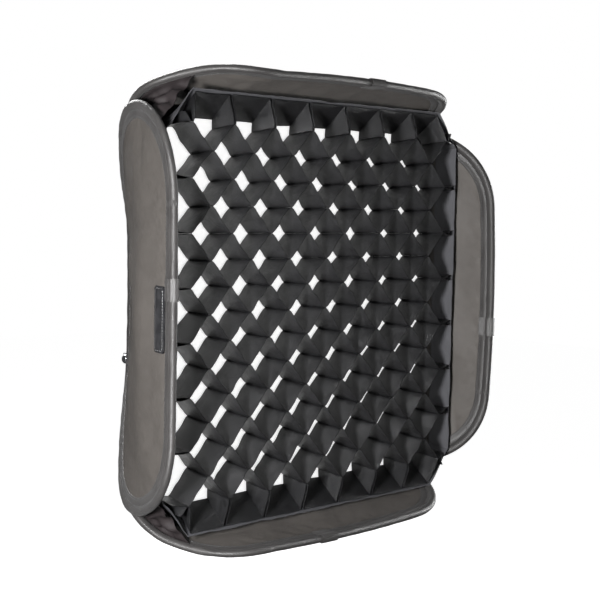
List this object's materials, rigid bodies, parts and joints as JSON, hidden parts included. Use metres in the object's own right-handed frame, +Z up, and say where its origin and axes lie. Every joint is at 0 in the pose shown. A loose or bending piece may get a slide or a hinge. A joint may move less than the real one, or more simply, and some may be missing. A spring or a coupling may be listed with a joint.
{
  "type": "collapsible softbox",
  "caption": "Collapsible square softbox with a fabric egg-crate grid, on a slotted bracket with a sliding cold shoe and a tilting stand head.",
  "frame": {"origin": "centre of the stand socket's mouth, on the stand axis", "axes": "+Z up along the stand axis, -Y the way the light leaves, +X to the right seen from behind the box"},
  "size_m": [0.5866, 0.4935, 0.5992],
  "materials": {
    "spring_steel": "bright drawn wire",
    "binding_tape": "dark grey woven binding tape",
    "black_nylon": "black coated nylon with a slight sheen",
    "hook_tape": "black hook tape",
    "gusset_cloth": "thin black-brown nylon, creased",
    "patch": "plain black patch, nothing printed",
    "elastic_hem": "gathered elastic hem",
    "diffuser_cloth": "white translucent nylon",
    "grid_cloth": "black polyester cloth",
    "black_steel": "black powder coat",
    "pad_rubber": "black rubber",
    "black_aluminium": "black anodised bar",
    "zinc_steel": "zinc plated",
    "cast_black": "cast alloy, fine black texture",
    "black_plastic": "black moulded plastic",
    "silver_cap": "satin bright cap"
  },
  "bodies": {
    "stand_head": {"tilt_head_lower": "cast_black"},
    "stand_lock": {"stand_lock_knob": "black_plastic"},
    "umbrella_lock": {"umbrella_screw": "black_plastic"},
    "softbox": {"wire_loop_top": "spring_steel", "binding_top": "binding_tape", "side_panel_top": "black_nylon", "hook_tape_top": "hook_tape", "wire_loop_right": "spring_steel", "binding_right": "binding_tape", "side_panel_right": "black_nylon", "hook_tape_right": "hook_tape", "wire_loop_bottom": "spring_steel", "binding_bottom": "binding_tape", "side_panel_bottom": "black_nylon", "hook_tape_bottom": "hook_tape", "wire_loop_left": "spring_steel", "binding_left": "binding_tape", "side_panel_left": "black_nylon", "hook_tape_left": "hook_tape", "corner_gusset_top_right": "gusset_cloth", "corner_gusset_bottom_right": "gusset_cloth", "corner_gusset_bottom_left": "gusset_cloth", "corner_gusset_top_left": "gusset_cloth", "side_patch": "patch", "rear_panel": "black_nylon", "opening_hem": "elastic_hem", "inner_baffle": "diffuser_cloth", "mount_plate": "black_steel", "bracket_pad": "pad_rubber", "bracket_arm": "black_aluminium", "plate_screw_left": "zinc_steel", "plate_screw_right": "zinc_steel", "arm_bolt": "zinc_steel", "tilt_head_upper": "cast_black", "tilt_bolt": "zinc_steel"},
    "lever": {"tilt_lever": "cast_black"},
    "carriage": {"shoe_carriage": "cast_black", "cold_shoe": "black_steel"},
    "carriage_clamp": {"carriage_knob": "black_plastic", "carriage_knob_cap": "silver_cap"},
    "shoe_clamp": {"shoe_lock_screw": "zinc_steel"},
    "diffuser": {"front_diffuser": "diffuser_cloth"},
    "grid": {"grid_border": "grid_cloth", "grid_edge_strip_top": "grid_cloth", "grid_edge_strip_bottom": "grid_cloth", "grid_strip_01": "grid_cloth", "grid_strip_02": "grid_cloth", "grid_strip_03": "grid_cloth", "grid_strip_04": "grid_cloth", "grid_strip_05": "grid_cloth", "grid_strip_06": "grid_cloth", "grid_strip_07": "grid_cloth", "grid_strip_08": "grid_cloth", "grid_strip_09": "grid_cloth", "grid_strip_10": "grid_cloth", "grid_strip_11": "grid_cloth", "grid_strip_12": "grid_cloth", "grid_strip_13": "grid_cloth", "grid_strip_14": "grid_cloth"}
  },
  "joints": [
    {"name": "tilt", "type": "hinge", "parent": "stand_head", "child": "softbox", "pos_m": [0, 0, 0.099], "axis": [1, 0, 0], "range_deg": [-45, 60]},
    {"name": "tilt_lever_turn", "type": "hinge", "parent": "softbox", "child": "lever", "pos_m": [-0.0214, 0, 0.099], "axis": [1, 0, 0], "range_deg": [-80, 0]},
    {"name": "stand_lock_turn", "type": "hinge", "parent": "stand_head", "child": "stand_lock", "pos_m": [0, 0.027, 0.022], "axis": [0, 1, 0], "continuous": true},
    {"name": "umbrella_lock_turn", "type": "hinge", "parent": "stand_head", "child": "umbrella_lock", "pos_m": [0.022, 0, 0.06], "axis": [1, 0, 0], "continuous": true},
    {"name": "carriage_slide", "type": "slide", "parent": "softbox", "child": "carriage", "axis": [0, 1, 0], "range_m": [-0.02, 0.035]},
    {"name": "carriage_clamp_turn", "type": "hinge", "parent": "carriage", "child": "carriage_clamp", "pos_m": [-0.039, 0.022, 0.127], "axis": [-1, 0, 0], "continuous": true},
    {"name": "shoe_clamp_turn", "type": "hinge", "parent": "carriage", "child": "shoe_clamp", "pos_m": [0.0196, 0.022, 0.1479], "axis": [1, 0, 0], "continuous": true},
    {"name": "diffuser_peel", "type": "slide", "parent": "softbox", "child": "diffuser", "axis": [0, -1, 0], "range_m": [0, 0.15]},
    {"name": "grid_peel", "type": "slide", "parent": "diffuser", "child": "grid", "axis": [0, -1, 0], "range_m": [0, 0.15]}
  ]
}
